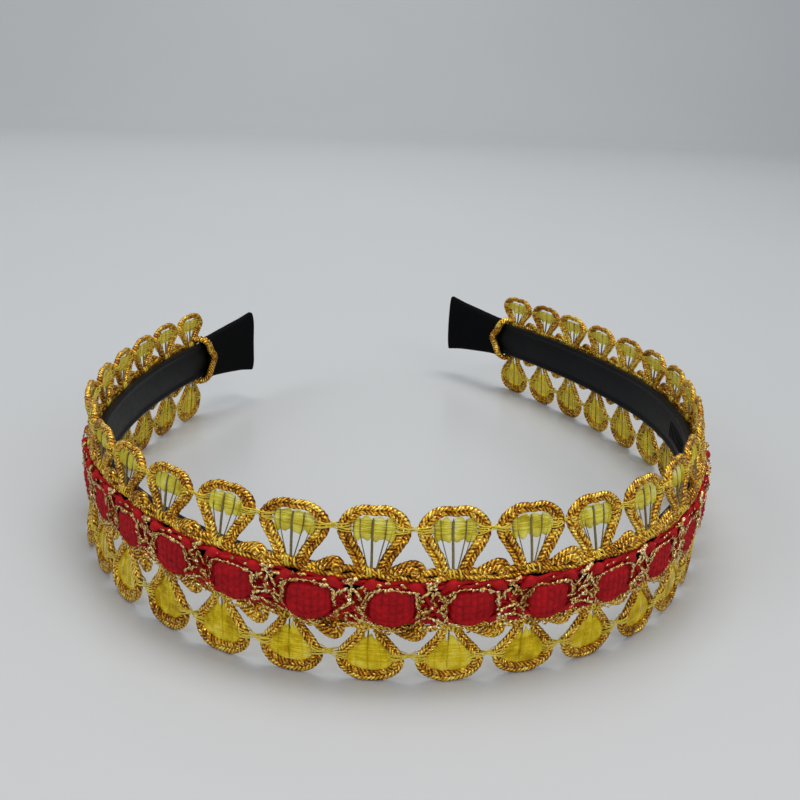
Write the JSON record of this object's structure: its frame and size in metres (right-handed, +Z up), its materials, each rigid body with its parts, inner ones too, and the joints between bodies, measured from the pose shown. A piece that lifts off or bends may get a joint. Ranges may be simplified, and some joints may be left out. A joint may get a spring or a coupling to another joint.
{
  "type": "traditional headband",
  "caption": "U-shaped hair hoop standing on its edge, with an openwork gold trim of teardrop loops above and below a raised red woven braid, and cloth-covered tips.",
  "frame": {"origin": "centre of the footprint of the whole band, on the surface it stands on", "axes": "+Z up, across the width of the band as it stands on its edge; -Y towards the closed front of the hoop; +Y towards the open ends; +X to the right seen from the front"},
  "size_m": [0.1342, 0.176, 0.0293],
  "materials": {
    "black_plastic": "satin",
    "black_cloth": "matte",
    "gold_cord": "metallic thread, glossy",
    "yellow_thread": "satin, slightly see-through",
    "red_braid": "matte, woven",
    "tinsel": "pale metallic foil, sparkling"
  },
  "bodies": {
    "root": {"hoop": "black_plastic", "tip_wrap_left": "black_cloth", "tip_wrap_right": "black_cloth", "upper_fan_row": "gold_cord", "lower_fan_row": "gold_cord", "upper_web": "yellow_thread", "lower_web": "yellow_thread", "centre_braid": "red_braid", "end_cord_left": "gold_cord", "end_cord_right": "gold_cord"}
  },
  "joints": []
}
